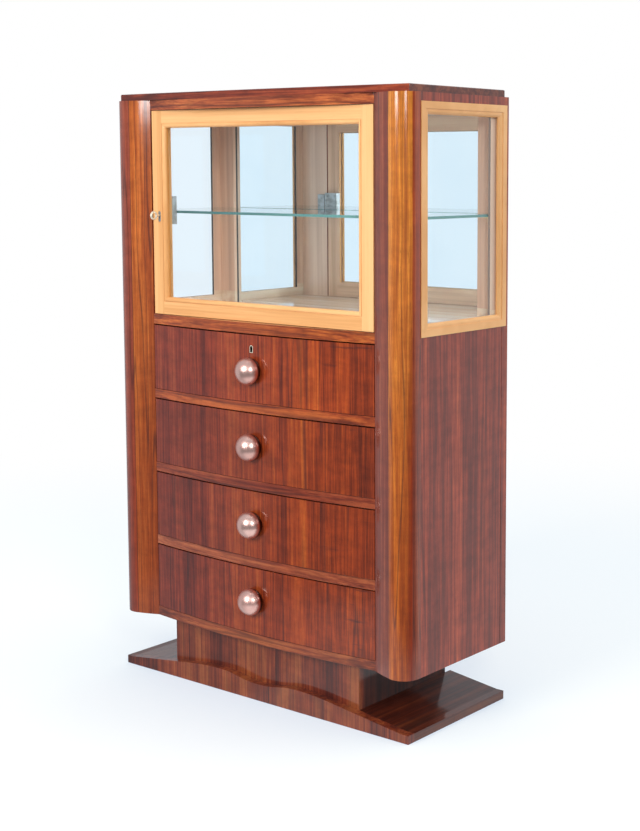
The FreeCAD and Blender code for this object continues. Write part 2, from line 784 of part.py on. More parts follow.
def make_door_lock():
    """The rim lock on the inside of the lock stile, its bolt and the key in it."""
    lock_x = ("lock_x", "lock_x + lock_width")
    lock_z = ("key_z - lock_below_key", "key_z + lock_above_key")
    body = box("lock_body", lock_x, ("door_back_y", "lock_back_y"), lock_z)
    shell = fuse("lock_shell", body, bush("lock_bush"))
    cavity = box("lock_cavity", ("lock_x + lock_wall", "lock_x + lock_width - lock_wall"),
                 ("door_back_y + lock_wall", "lock_back_y - lock_wall"),
                 (f"{lock_z[0]} + lock_wall", f"{lock_z[1]} - lock_wall"))
    slot = box("lock_slot", ("lock_x", "lock_x + lock_wall"),
               ("bolt_y - bolt_clearance", "bolt_y + bolt_thickness + bolt_clearance"),
               ("bolt_z - bolt_clearance", "bolt_z + bolt_height + bolt_clearance"))
    through = "door_thickness + lock_wall"
    bore = rod("keyhole_bore", "y", ("key_x", "door_y", "key_z"), "keyhole_radius", through)
    keyway = box("keyhole_way", ("key_x - keyway_width / 2", "key_x + keyway_width / 2"),
                 ("door_y", f"door_y + {through}"), ("key_z - keyway_drop", "key_z"))
    case = cut("door_lock_case", shell, cavity, slot, bore, keyway)
    bolt = box("door_lock_bolt", ("lock_x", "lock_x + bolt_length"), ("bolt_y", "bolt_y + bolt_thickness"),
               ("bolt_z", "bolt_z + bolt_height"))
    ring_y = "door_y - ring_stand"
    ring = doc.addObject("Part::Torus", "key_ring")
    ring.setExpression("Radius1", formula("ring_radius"))
    ring.setExpression("Radius2", formula("ring_wire"))
    place(ring, ("key_x", ring_y, "key_z"), ALONG["x"])
    shank_y = f"{ring_y} + ring_radius"
    shank = rod("key_shank", "y", ("key_x", shank_y, "key_z"), "shank_radius",
                f"bolt_y + bit_length - ({shank_y})")
    bit = box("key_bit", ("key_x - bit_thickness / 2", "key_x + bit_thickness / 2"),
              ("bolt_y", "bolt_y + bit_length"), ("key_z - bit_radius", "key_z"))
    key = fuse("door_key", ring, shank, bit)
    return [case, bolt, key]


def make_drawer(number):
    """A bowed front, the box behind it and the ball knob, counted from the top."""
    low = f"sill_low_z - {number} * drawer_opening - {number - 1} * rail_height"
    front_z = (f"{low} + front_low_gap", f"{low} + drawer_opening - front_high_gap")
    knob_z = f"{low} + drawer_opening / 2"
    if number == 1:
        knob_z += " - knob_drop"
    face = bowed(f"front_{number}", ("-front_half", "front_half"), "front_back_y + bow_rise", front_z)
    hole = rod(f"front_{number}_hole", "y", ("0", "apex_y", knob_z), "screw_radius + screw_clearance",
               "front_thickness + bow_rise")
    cuts = [bow(f"front_{number}_inside", "front_thickness", front_z), hole]
    if number == 1:
        cuts += make_till_cuts()
    front = cut(f"drawer_front_{number}", face, *cuts)
    return [front, make_box(number, low), make_knob(number, knob_z)]


def make_box(number, low):
    """Two sides, a back and a bottom, which meet the inside of the bowed front."""
    seat = f"{low} + box_low_gap"
    wall_z = (seat, f"{seat} + box_height")
    inside = ("box_side - box_half", "box_half - box_side")
    right = bowed(f"box_{number}_right", ("box_half - box_side", "box_half"), "box_back_y", wall_z,
                  "front_thickness")
    back = box(f"box_{number}_back", inside, ("box_back_y - box_side", "box_back_y"), wall_z)
    bottom = bowed(f"box_{number}_bottom", inside, "box_back_y - box_side",
                   (f"{seat} + box_bottom_rise", f"{seat} + box_bottom_rise + box_bottom"), "front_thickness")
    return group(f"drawer_box_{number}", [mirrored(f"box_{number}_left", right), right, back, bottom])


def make_knob(number, height):
    """A slightly flattened ball, cut off where it meets the front, and its screw."""
    label = f"knob_{number}"
    body = doc.addObject("PartDesign::Body", label)
    half_section = [
        ("0", "-knob_bulge", "out", "knob_cap_radius"),
        ("knob_rim * knob_turn", "knob_cap - knob_cap * knob_turn", "out", "knob_rim_radius"),
        ("knob_rim + sqrt(knob_rim_radius * knob_rim_radius - knob_stand * knob_stand)", "knob_stand"),
        ("screw_radius", "knob_stand"),
        ("screw_radius", "knob_stand - knob_bore_depth"),
        ("0", "knob_stand - knob_bore_depth"),
    ]
    sketch = flat_sketch(body, label + "_outline", "XY_Plane", "0", half_section)
    turned = body.newObject("PartDesign::Revolution", label + "_turned")
    turned.Profile = (sketch, [""])
    turned.ReferenceAxis = (sketch, ["V_Axis"])
    turned.Angle = 360
    place(body, ("0", "apex_y - knob_stand", height))
    shank = rod(f"screw_{number}_shank", "y", ("0", "apex_y - knob_bore_depth", height),
                "screw_radius", "knob_bore_depth + front_thickness")
    head = rod(f"screw_{number}_head", "y", ("0", "front_back_y", height), "screw_head_radius", "screw_head")
    return group(f"drawer_knob_{number}", [body, fuse(f"screw_{number}", shank, head)])


def keyhole_plate(label, inset, y, depth):
    """A flat-bottomed, round-topped plate about the top drawer's keyhole."""
    half = f"(escutcheon_width / 2 - {inset})"
    low = f"till_key_z - escutcheon_height / 2 + {inset}"
    high = "till_key_z + escutcheon_height / 2 - escutcheon_width / 2"
    section = [
        (f"-{half}", low),
        (half, low),
        (half, high, "out", half),
        ("0", f"{high} + {half}", "out", half),
        (f"-{half}", high),
    ]
    return slab(label, "XZ_Plane", f"-({y}) - ({depth})", section, depth)


def make_till_cuts():
    """The cuts in the top drawer's front for its lock, escutcheon and key."""
    pocket = box("till_pocket", ("-till_lock_width / 2", "till_lock_width / 2"),
                 ("till_lock_y", "till_lock_y + till_lock_depth"),
                 ("till_high_z - till_lock_height", "till_high_z"))
    seat = keyhole_plate("escutcheon_seat", "0", "apex_y", "escutcheon_depth")
    way = keyhole_plate("till_keyhole", "escutcheon_wall", "apex_y", "front_thickness")
    return [pocket, seat, way]


def make_till_lock():
    """The top drawer's lock, its rising bolt and the escutcheon round the keyhole."""
    lock_x = ("-till_lock_width / 2", "till_lock_width / 2")
    lock_y = ("till_lock_y", "till_lock_y + till_lock_depth")
    lock_z = ("till_high_z - till_lock_height", "till_high_z")
    cavity = box("till_lock_cavity", (f"{lock_x[0]} + till_lock_wall", f"{lock_x[1]} - till_lock_wall"),
                 (f"{lock_y[0]} + till_lock_wall", f"{lock_y[1]} - till_lock_wall"),
                 (f"{lock_z[0]} + till_lock_wall", f"{lock_z[1]} - till_lock_wall"))
    bolt_x = ("-till_bolt_width / 2", "till_bolt_width / 2")
    bolt_y = ("till_bolt_y", "till_bolt_y + till_bolt_thickness")
    slot = box("till_lock_slot", (f"{bolt_x[0]} - till_bolt_clearance", f"{bolt_x[1]} + till_bolt_clearance"),
               (f"{bolt_y[0]} - till_bolt_clearance", f"{bolt_y[1]} + till_bolt_clearance"),
               ("till_high_z - till_lock_wall", "till_high_z"))
    keyhole = keyhole_plate("till_lock_keyhole", "escutcheon_wall", "till_lock_y", "till_lock_wall")
    case = cut("drawer_lock", box("till_lock_body", lock_x, lock_y, lock_z), cavity, slot, keyhole)
    bolt = box("drawer_lock_bolt", bolt_x, bolt_y, ("till_high_z - till_bolt_height", "till_high_z"))
    plate_y = "apex_y - escutcheon_proud"
    plate_depth = "escutcheon_depth + escutcheon_proud"
    escutcheon = cut(
        "drawer_escutcheon",
        keyhole_plate("escutcheon_blank", "0", plate_y, plate_depth),
        keyhole_plate("escutcheon_hole", "escutcheon_wall", plate_y, plate_depth),
    )
    return [case, bolt, escutcheon]


nodes = make_base() + make_plinth() + make_case() + make_pilasters() + make_top_slab() + make_rails()
nodes += make_runners() + make_windows() + make_vitrine() + make_hinges() + make_stiles() + make_door()
nodes += make_door_lock() + make_till_lock()
for drawer in range(1, DRAWERS + 1):
    nodes += make_drawer(drawer)
doc.recompute()

failed = [thing.Label for thing in doc.Objects if {"Invalid", "Error"} & set(thing.State)]
broken = [node.Label for node in nodes if node.Shape.isNull() or not node.Shape.isValid()]
if failed or broken:
    raise RuntimeError(f"failed objects {failed}, broken shapes {broken}")

os.makedirs("parts", exist_ok=True)
for node in nodes:
    node.Shape.exportStep(f"parts/{node.Label}.step")
print(len(nodes), "pieces written")
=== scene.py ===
"""Looks of the bow-fronted display cabinet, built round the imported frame."""

import math
from functools import reduce

import bmesh
import bpy
from mathutils import Matrix, Vector


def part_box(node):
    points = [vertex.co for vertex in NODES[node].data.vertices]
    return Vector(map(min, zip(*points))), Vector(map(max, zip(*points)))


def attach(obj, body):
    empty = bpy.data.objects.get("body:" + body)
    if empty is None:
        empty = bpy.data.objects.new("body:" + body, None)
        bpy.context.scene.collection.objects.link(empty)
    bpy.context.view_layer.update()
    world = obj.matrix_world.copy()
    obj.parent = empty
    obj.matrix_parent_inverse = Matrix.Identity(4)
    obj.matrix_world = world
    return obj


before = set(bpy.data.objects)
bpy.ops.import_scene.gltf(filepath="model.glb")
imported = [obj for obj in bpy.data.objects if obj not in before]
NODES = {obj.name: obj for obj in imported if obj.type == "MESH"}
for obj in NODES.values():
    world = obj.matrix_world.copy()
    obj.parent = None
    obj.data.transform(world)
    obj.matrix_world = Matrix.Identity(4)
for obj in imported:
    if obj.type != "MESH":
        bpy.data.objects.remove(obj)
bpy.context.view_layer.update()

# The photograph's size in pixels, and the camera that its corners give, in metres and degrees
PHOTO_WIDTH = 640
PHOTO_HEIGHT = 831
CAMERA_SPOT = (2.3643, -2.5852, 1.2289)
CAMERA_YAW = 37.08
CAMERA_PITCH = 6.19
CAMERA_ROLL = 0.12
FOCAL_PIXELS = 1500.9
AXIS_PIXEL = (440, 330)
SENSOR = 36

# Places in metres, from the frame
INNER_LOW, INNER_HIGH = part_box("vitrine_floor")
CASE_LOW_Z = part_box("case_bottom")[0].z
CEILING_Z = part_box("case_top")[0].z
HALF_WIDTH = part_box("pilaster_right")[1].x
COLUMN_FRONT_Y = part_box("pilaster_right")[0].y
MIRROR_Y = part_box("mirror")[0].y
PANE_LOW_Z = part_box("side_glass_left")[0].z
MOULDING_LOW, MOULDING_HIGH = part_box("door_moulding")

# Pale wood reaches this far past the inner box, and begins this far above the case's underside
SKIN = 0.0003
UNDERSIDE = 0.001

# The lining board behind a side window: its thickness, and its low bar's top above the pane's foot
LINING_THICKNESS = 0.006
LINING_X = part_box("window_linings")[1].x - LINING_THICKNESS
BAR_PAST_PANE = 0.016

# The sides of the posts that hold the mirror lie more than this far inside the linings, and
# are painted dark from this far in front of the mirror's face backwards, as painted shade
POST_INSET = 0.02
POST_PAST_MIRROR = 0.003

# The side board of a drawer box is this thick, with a little to spare
BOX_SIDE = 0.0125
BOX_INSIDE_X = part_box("drawer_box_1")[1].x - BOX_SIDE

# Shape of a round column: its radius in metres, and how far the round turns from straight
# ahead towards the door and towards the cabinet's side, in degrees
COLUMN_RADIUS = 0.038
COLUMN_TURN = 24
COLUMN_SIDE_TURN = 66
CRISP_X = HALF_WIDTH - COLUMN_RADIUS * (1 + math.sin(math.radians(COLUMN_TURN)))
COLUMN_SIDE_Y = COLUMN_FRONT_Y + COLUMN_RADIUS * (1 - math.cos(math.radians(COLUMN_SIDE_TURN)))

# A change of colour with depth starts this far behind a piece's front
FADE_START = 0.002

# A face counts as turned a way where that part of its direction is past one of these. It
# counts as turned inward where its direction's x times its place's x is below the last.
SLIGHTLY_TURNED = 0.35
TURNED = 0.5
FULLY_TURNED = 0.9
TURNED_INWARD = -0.2

WHITE = (1, 1, 1)
BLACK = (0, 0, 0)


class Tree:
    """The node tree of a material or a world, with short ways to add nodes."""

    def __init__(self, owner):
        owner.use_nodes = True
        self.owner = owner
        self.tree = owner.node_tree
        self.tree.nodes.clear()

    def feed(self, socket, source):
        """Link a socket to another node's socket, or set its value."""
        if isinstance(source, bpy.types.NodeSocket):
            self.tree.links.new(source, socket)
        elif isinstance(source, tuple) and socket.type == "RGBA":
            socket.default_value = (*source, 1)
        else:
            socket.default_value = source

    def add(self, kind, inputs=(), **settings):
        node = self.tree.nodes.new("ShaderNode" + kind)
        for name, setting in settings.items():
            setattr(node, name, setting)
        for name, source in dict(inputs).items():
            self.feed(node.inputs[name], source)
        return node

    def position(self):
        """The point on the piece, in metres at rest."""
        return self.add("TexCoord").outputs["Object"]

    def facing(self):
        """The surface's direction at rest."""
        return self.add("TexCoord").outputs["Normal"]

    def scaled(self, vector, scale, shift=(0, 0, 0)):
        inputs = {"Vector": vector, "Scale": scale, "Location": shift}
        return self.add("Mapping", inputs).outputs["Vector"]

    def parts(self, vector):
        """The x, y and z of a vector."""
        return tuple(self.add("SeparateXYZ", {"Vector": vector}).outputs)

    def noise(self, vector, scale, detail=2, roughness=0.5):
        inputs = {"Vector": vector, "Scale": scale, "Detail": detail, "Roughness": roughness}
        return self.add("TexNoise", inputs).outputs[0]

    def vector_math(self, operation, *inputs):
        return self.add("VectorMath", dict(enumerate(inputs)), operation=operation).outputs

    def math(self, operation, first, second=0.0):
        return self.add("Math", {0: first, 1: second}, operation=operation).outputs[0]

    def times(self, first, second):
        return self.math("MULTIPLY", first, second)

    def absolute(self, value):
        return self.math("ABSOLUTE", value)

    def above(self, value, limit):
        """One where a value is greater than a limit, and zero elsewhere."""
        return self.math("GREATER_THAN", value, limit)

    def below(self, value, limit):
        """One where a value is less than a limit, and zero elsewhere."""
        return self.math("LESS_THAN", value, limit)

    def fade(self, value, low, high, start=0.0, end=1.0):
        """Run smoothly from start to end as a value goes from low to high."""
        inputs = {"Value": value, "From Min": low, "From Max": high, "To Min": start, "To Max": end}
        node = self.add("MapRange", inputs, interpolation_type="SMOOTHSTEP")
        return node.outputs["Result"]

    def blend(self, factor, first, second, way="MIX"):
        inputs = {0: factor, 6: first, 7: second}
        return self.add("Mix", inputs, data_type="RGBA", blend_type=way).outputs[2]

    def tinted(self, colour, tint):
        return self.blend(1.0, colour, tint, "MULTIPLY")

    def ramp(self, value, stops):
        node = self.add("ValToRGB", {"Fac": value})
        elements = node.color_ramp.elements
        while len(elements) < len(stops):
            elements.new(0.5)
        for element, (spot, colour) in zip(elements, stops):
            element.position = spot
            element.color = (*colour, 1)
        return node.outputs["Color"]

    def within(self, vector, low, high):
        """One inside a box of the frame, and zero outside it."""
        shares = []
        for value, least, most in zip(self.parts(vector), low, high):
            shares += [self.above(value, least), self.below(value, most)]
        return reduce(self.times, shares)

    def bump(self, height, distance, normal, strength):
        inputs = {"Height": height, "Distance": distance, "Normal": normal, "Strength": strength}
        return self.add("Bump", inputs).outputs["Normal"]

    def eased(self, radius):
        """A normal that rounds the piece's edges."""
        return self.add("Bevel", {"Radius": radius}, samples=4).outputs["Normal"]

    def shader(self, kind, inputs):
        return self.add(kind, inputs).outputs[0]

    def mix_shaders(self, factor, first, second):
        return self.add("MixShader", {0: factor, 1: first, 2: second}).outputs[0]

    def show(self, shader, output="OutputMaterial"):
        self.add(output, {"Surface": shader})
        return self.owner


def material_tree(name):
    return Tree(bpy.data.materials.new(name))


# How far each wood's figure is squeezed along its grain
GRAIN_SQUEEZE = 0.022
UPRIGHT_GRAIN = (1, 1, GRAIN_SQUEEZE)
LEVEL_GRAIN = (GRAIN_SQUEEZE, 1, 1)
DEPTH_GRAIN = (1, GRAIN_SQUEEZE, 1)
MOULDING_GRAIN = (0.08, 1, 0.08)
FRAME_GRAIN = (1, 0.08, 0.08)

# The figure of wood: noise scales per metre, and how much each noise counts
DRIFT_SCALE = 2.6
BROAD_SCALE = 17
THREADS_PER_STRIPE = 3.4
PORES_PER_STRIPE = 7
PORE_SQUEEZE = 0.06
PORE_EDGE = (0.56, 0.68)
BROAD_SHARE = 0.42
STRIPE_SHARE = 0.36
THREAD_SHARE = 0.22


def wood_figure(tree, grain, shift, stripe, sway=0.004, spread=0.12):
    """The tone of straight-grained wood, from dark at 0 to pale at 1, its pores and its point.

    The point is where its noises are looked up: squeezed along the grain and gently bent.
    """
    straight = tree.scaled(tree.position(), grain, shift)
    drift_inputs = {"Vector": tree.position(), "Scale": DRIFT_SCALE, "Detail": 1}
    drift = tree.add("TexNoise", drift_inputs).outputs[1]
    spot = tree.vector_math("MULTIPLY_ADD", drift, (sway,) * 3, straight)[0]
    tone = tree.times(tree.noise(spot, BROAD_SCALE), BROAD_SHARE)
    stripes = tree.noise(spot, stripe, 3, 0.6)
    threads = tree.noise(spot, stripe * THREADS_PER_STRIPE, 2, 0.6)
    tone = tree.math("ADD", tone, tree.times(stripes, STRIPE_SHARE))
    tone = tree.math("ADD", tone, tree.times(threads, THREAD_SHARE))
    short = tree.scaled(tree.position(), [max(part, PORE_SQUEEZE) for part in grain], shift)
    pores = tree.fade(tree.noise(short, stripe * PORES_PER_STRIPE, 2, 0.7), *PORE_EDGE)
    return tree.fade(tone, 0.5 - spread, 0.5 + spread), pores, spot


# The lacquer: ease of the edges and depths of pores and ripples, in metres
EDGE_EASE = 0.0009
PORE_DEPTH = 0.00012
OPEN_PORE_DEPTH = 0.0002
PEEL_SCALE = 38
PEEL_DEPTH = 0.0011
WEAR_SCALE = 9
WOOD_ROUGHNESS = (0.40, 0.52)


def lacquered(tree, colour, pores, gloss=0.10, coat=0.8, ease=EDGE_EASE, peel=0.10):
    """Wood under a clear lacquer, whose ripples are as strong as peel."""
    rounded = tree.eased(ease)
    wear = tree.noise(tree.position(), WEAR_SCALE, 3, 0.6)
    ripples = tree.noise(tree.position(), PEEL_SCALE)
    return tree.show(tree.shader("BsdfPrincipled", {
        "Base Color": colour,
        "Roughness": tree.fade(wear, 0.3, 0.7, *WOOD_ROUGHNESS),
        "Specular IOR Level": 0.1,
        "Coat Weight": coat,
        "Coat Roughness": gloss,
        "Coat IOR": 1.5,
        "Normal": tree.bump(pores, PORE_DEPTH, rounded, 0.35),
        "Coat Normal": tree.bump(ripples, PEEL_DEPTH, rounded, peel),
    }))


# Colours of each wood from its darkest stripe to its palest
ROSEWOOD = ((0.115, 0.020, 0.011), (0.225, 0.038, 0.015), (0.330, 0.059, 0.019),
            (0.425, 0.090, 0.025), (0.540, 0.150, 0.038))
PURPLE_WOOD = ((0.105, 0.021, 0.015), (0.170, 0.031, 0.019), (0.225, 0.042, 0.023),
               (0.285, 0.058, 0.028), (0.360, 0.085, 0.036))
ORANGE_WOOD = ((0.200, 0.036, 0.008), (0.340, 0.080, 0.016), (0.460, 0.130, 0.028),
               (0.580, 0.190, 0.046), (0.720, 0.290, 0.085))
RAIL_WOOD = ((0.095, 0.013, 0.007), (0.165, 0.023, 0.010), (0.235, 0.035, 0.013),
             (0.310, 0.053, 0.018), (0.400, 0.082, 0.027))
FLANK_WOOD = ((0.200, 0.050, 0.034), (0.250, 0.064, 0.040), (0.320, 0.094, 0.054),
              (0.430, 0.155, 0.082), (0.560, 0.240, 0.120))
MAPLE = ((0.80, 0.39, 0.14), (0.88, 0.455, 0.172), (0.93, 0.50, 0.20),
         (0.96, 0.535, 0.22), (0.99, 0.585, 0.255))
PALE = ((0.68, 0.45, 0.31), (0.78, 0.53, 0.38), (0.84, 0.58, 0.42),
        (0.90, 0.64, 0.47), (0.95, 0.71, 0.53))
# The linings' low bar: pale veneer made brighter and whiter as painted light
LOW_BAR_PAINTED_LIGHT = ((0.76, 0.55, 0.38), (0.85, 0.65, 0.47), (0.91, 0.72, 0.53),
          (0.95, 0.78, 0.60), (0.98, 0.83, 0.65))
# The glazed part's floor: pale wood made paler still as painted light
FLOOR_WOOD_PAINTED_LIGHT = ((0.78, 0.48, 0.34), (0.88, 0.59, 0.41), (0.94, 0.67, 0.47),
              (0.97, 0.73, 0.54), (0.99, 0.80, 0.63))
PLAIN = ((0.36, 0.20, 0.095), (0.44, 0.265, 0.13), (0.52, 0.33, 0.17),
         (0.58, 0.385, 0.205), (0.65, 0.44, 0.25))

# Colours of details, and how much of them pores, joints and depth bring in. The columns'
# joints fade between two distances in metres.
BLACK_LINE = (0.040, 0.011, 0.010)
PORE_SHARE = 0.34
MAPLE_PORE_SHARE = 0.12
PLAIN_PORE_SHARE = 0.25
JOINT_SHARE = 0.75
JOINT_EDGE = (0.0002, 0.0011)
VENEER_JOINT = (0.030, 0.009, 0.008)
MAPLE_PORE = (0.55, 0.24, 0.06)
MAPLE_DEEP = (0.78, 0.33, 0.07)
DEEP_SHARE = 0.95
MAPLE_BACK_TINT = (1.0, 0.93, 0.84)
PLAIN_PORE = (0.20, 0.10, 0.045)
CUT_EDGE = (0.34, 0.25, 0.20)
# Painted shadow on the linings' cut edges at the left
CUT_EDGE_SHADOW = (0.035, 0.026, 0.024)
# Painted shade on the posts' sides beside the mirror
POST_SHADE_BY_MIRROR = (0.075, 0.058, 0.055)


def toned(palette, tint):
    """A wood's colours, each multiplied by a tint."""
    return [tuple(share * part for share, part in zip(colour, tint)) for colour in palette]


def wood_colour(tree, tone, palette):
    """The palette's colour for a tone."""
    last = len(palette) - 1
    return tree.ramp(tone, [(number / last, colour) for number, colour in enumerate(palette)])


def flawed(tree, colour, shift, low=0.80, high=1.16):
    """Add soft cloudy light and shade across the grain."""
    mottle = tree.noise(tree.scaled(tree.position(), (1, 1, 1.7), shift), 23, 3, 0.6)
    return tree.tinted(colour, tree.ramp(mottle, [(0.3, (low,) * 3), (0.7, (high,) * 3)]))


def lined(tree, colour, spot, pores, scale, width, strength):
    """Draw the thin dark lines and the pores of rosewood over a colour."""
    away = tree.absolute(tree.math("SUBTRACT", tree.noise(spot, scale, 1, 0.4), 0.5))
    lines = tree.times(tree.fade(away, 0, width, 1.0, 0.0), strength)
    colour = tree.blend(lines, colour, BLACK_LINE)
    return tree.blend(tree.times(pores, PORE_SHARE), colour, BLACK_LINE)


def pale_inside(tree, colour):
    """Turn a colour into pale veneer where a piece faces into the glazed part or the case."""
    inner = tree.within(
        tree.position(),
        (INNER_LOW.x - SKIN, INNER_LOW.y - SKIN, CASE_LOW_Z + UNDERSIDE),
        (INNER_HIGH.x + SKIN, INNER_HIGH.y, CEILING_Z + SKIN),
    )
    tone = wood_figure(tree, UPRIGHT_GRAIN, (3, 1, 0), 30)[0]
    return tree.blend(inner, colour, wood_colour(tree, tone, PALE))


def veneer(name, palette, grain, shift, stripe, lines=0.5, end_leaf_and_reflection=None):
    """Rosewood veneer outside, and pale wood where a piece faces into the case."""
    tree = material_tree(name)
    tone, pores, spot = wood_figure(tree, grain, shift, stripe)
    colour = flawed(tree, wood_colour(tree, tone, palette), shift)
    colour = lined(tree, colour, spot, pores, 19, 0.022, lines)
    # Faces that look left or right take another leaf's tint, with painted reflection.
    if end_leaf_and_reflection is not None:
        end = tree.above(tree.absolute(tree.parts(tree.facing())[0]), SLIGHTLY_TURNED)
        colour = tree.blend(end, colour, tree.tinted(colour, end_leaf_and_reflection))
    return lacquered(tree, pale_inside(tree, colour), pores)


# A column's round is painted darker near the floor and paler near the top, as painted light
# and shade with a painted sheen at the top. These are the heights in metres between which the
# round changes, and between which its outer edge and the side do, then the round's tints and
# the outer edge's tint at the top.
COLUMN_LIGHT_HEIGHTS = (0.30, 1.25)
EDGE_LIGHT_HEIGHTS = (0.55, 1.15)
ROUND_PAINTED_LIGHT = ((0.81, 0.62, 0.46), (1.18, 1.32, 1.40))
HIGH_EDGE_PAINTED_LIGHT = (0.95, 0.90, 0.85)


def column_veneer(name, side, round_palette, flank_palette, edge_painted_shade, side_painted_light, flank_painted_light):
    """A column's veneer, its woods and tints set as painted light, reflection and shade."""
    tree = material_tree(name)
    tone, pores, spot = wood_figure(tree, UPRIGHT_GRAIN, (side * 2.3, 0.7, 0), 130, 0.006, 0.19)
    x, y, z = tree.parts(tree.position())
    across = tree.absolute(x)
    # Painted light and shade: shares that grow from the floor to the top.
    up = tree.fade(z, *COLUMN_LIGHT_HEIGHTS)
    painted_edge_light = tree.fade(z, *EDGE_LIGHT_HEIGHTS)
    edge = tree.blend(painted_edge_light, edge_painted_shade, HIGH_EDGE_PAINTED_LIGHT)
    # Painted shade: the round takes the edge's tint as it turns towards the side, less near the
    # top.
    turned = tree.blend(tree.fade(y, COLUMN_FRONT_Y + FADE_START, COLUMN_SIDE_Y), WHITE, edge)
    rounded = tree.tinted(wood_colour(tree, tone, round_palette), turned)
    rounded = tree.tinted(rounded, tree.blend(up, *ROUND_PAINTED_LIGHT))
    # The flank is also painted darker near the floor and paler near the top.
    flat = tree.tinted(wood_colour(tree, tone, flank_palette), tree.blend(up, *flank_painted_light))
    sideways = tree.above(tree.absolute(tree.parts(tree.facing())[0]), FULLY_TURNED)
    # Faces that look left or right take painted light and painted reflection, changing with height.
    flat = tree.blend(sideways, flat, tree.tinted(flat, tree.blend(painted_edge_light, *side_painted_light)))
    front = tree.times(tree.above(across, CRISP_X), tree.below(y, COLUMN_SIDE_Y))
    colour = flawed(tree, tree.blend(front, flat, rounded), (side, 2, 0), 0.86, 1.12)
    from_joint = tree.absolute(tree.math("SUBTRACT", across, CRISP_X))
    joint = tree.fade(from_joint, *JOINT_EDGE, JOINT_SHARE, 0.0)
    colour = tree.blend(joint, colour, VENEER_JOINT)
    colour = lined(tree, colour, spot, pores, 34, 0.018, 0.6)
    return lacquered(tree, pale_inside(tree, colour), pores, coat=1.0, peel=0.04)


# A drawer's face: between which x in metres it goes from its left tint, duller as painted
# reflection, to its right one, brighter as painted light, and between which its dark cross marks
# grow, with their noise's edge, share and grain
FRONT_FADE = (-0.3, 0.3)
FRONT_PAINTED_LIGHT = ((0.53, 0.36, 0.50), (0.90, 0.70, 0.36))
MARKS_FADE = (0.15, 0.32)
MARKS_EDGE = (0.60, 0.72)
MARKS_SHARE = 0.75
MARKS_GRAIN = (0.30, 1, 2.2)


def front_veneer(name, shift, level):
    """A drawer's face with plain wood on its back, duller on the left as painted reflection, and
    paler and more orange towards its right as painted light.
    """
    tree = material_tree(name)
    tone, pores, spot = wood_figure(tree, UPRIGHT_GRAIN, shift, 150, spread=0.15)
    x = tree.parts(tree.position())[0]
    colour = wood_colour(tree, tone, toned(ROSEWOOD, (level,) * 3))
    colour = flawed(tree, colour, shift, 0.78, 1.18)
    # Painted reflection and light: duller and bluer on the left, brighter and more orange on the
    # right.
    colour = tree.tinted(colour, tree.blend(tree.fade(x, *FRONT_FADE), *FRONT_PAINTED_LIGHT))
    colour = lined(tree, colour, spot, pores, 23, 0.016, 0.5)
    marks = tree.noise(tree.scaled(tree.position(), MARKS_GRAIN, shift), 24, 3, 0.6)
    marks = tree.times(tree.fade(marks, *MARKS_EDGE), tree.fade(x, *MARKS_FADE, 0.0, MARKS_SHARE))
    colour = tree.blend(marks, colour, BLACK_LINE)
    back = tree.above(tree.parts(tree.facing())[1], TURNED)
    return lacquered(tree, tree.blend(back, colour, wood_colour(tree, tone, PLAIN)), pores)


def maple(name, grain, shift=(0, 0, 0), deep=None, side=False):
    """Honey maple, pale on the faces turned into the case.

    It turns orange from the first to the second value of y in deep. With side it is made for
    the window frames, which face left and right.
    """
    tree = material_tree(name)
    tone, pores = wood_figure(tree, grain, shift, 46)[:2]
    x, y = tree.parts(tree.position())[:2]
    colour = wood_colour(tree, tone, MAPLE)
    colour = tree.blend(tree.times(pores, MAPLE_PORE_SHARE), colour, MAPLE_PORE)
    if deep is not None:
        colour = tree.blend(tree.fade(y, *deep, 0.0, DEEP_SHARE), colour, MAPLE_DEEP)
    facing = tree.parts(tree.facing())
    if side:
        back = tree.below(tree.times(facing[0], x), TURNED_INWARD)
    else:
        back = tree.above(facing[1], TURNED)
    colour = tree.blend(back, colour, wood_colour(tree, tone, toned(PALE, MAPLE_BACK_TINT)))
    return lacquered(tree, colour, pores, gloss=0.15, coat=0.6, ease=0.0007)


def pale_lining(name):
    """Pale veneer of the linings and the corner posts, with cut edges that are near black at the
    left as painted shadow.
    """
    tree = material_tree(name)
    shift, stripe = (5, 2, 1), 34
    tone, pores = wood_figure(tree, UPRIGHT_GRAIN, shift, stripe)[:2]
    level_tone = wood_figure(tree, DEPTH_GRAIN, shift, stripe)[0]
    x, y, z = tree.parts(tree.position())
    across = tree.absolute(x)
    low_bar = tree.below(z, PANE_LOW_Z + BAR_PAST_PANE)
    colour = wood_colour(tree, tone, PALE)
    # Painted light: the low bar takes a brighter, whiter wood.
    colour = tree.blend(low_bar, colour, wood_colour(tree, level_tone, LOW_BAR_PAINTED_LIGHT))
    sideways = tree.above(tree.absolute(tree.parts(tree.facing())[0]), TURNED)
    outer = tree.above(across, LINING_X + SKIN)
    cut = tree.times(tree.math("SUBTRACT", 1.0, sideways), outer)
    # Painted shadow: the cut edges at the left are near black.
    colour = tree.blend(cut, colour, tree.blend(tree.below(x, 0), CUT_EDGE, CUT_EDGE_SHADOW))
    post_side = tree.times(sideways, tree.below(across, LINING_X - POST_INSET))
    # Painted shade: the posts' sides are dark beside the mirror.
    painted_shade_by_mirror = tree.times(post_side, tree.above(y, MIRROR_Y - POST_PAST_MIRROR))
    colour = tree.blend(painted_shade_by_mirror, colour, POST_SHADE_BY_MIRROR)
    return lacquered(tree, colour, pores, gloss=0.3, coat=0.3)


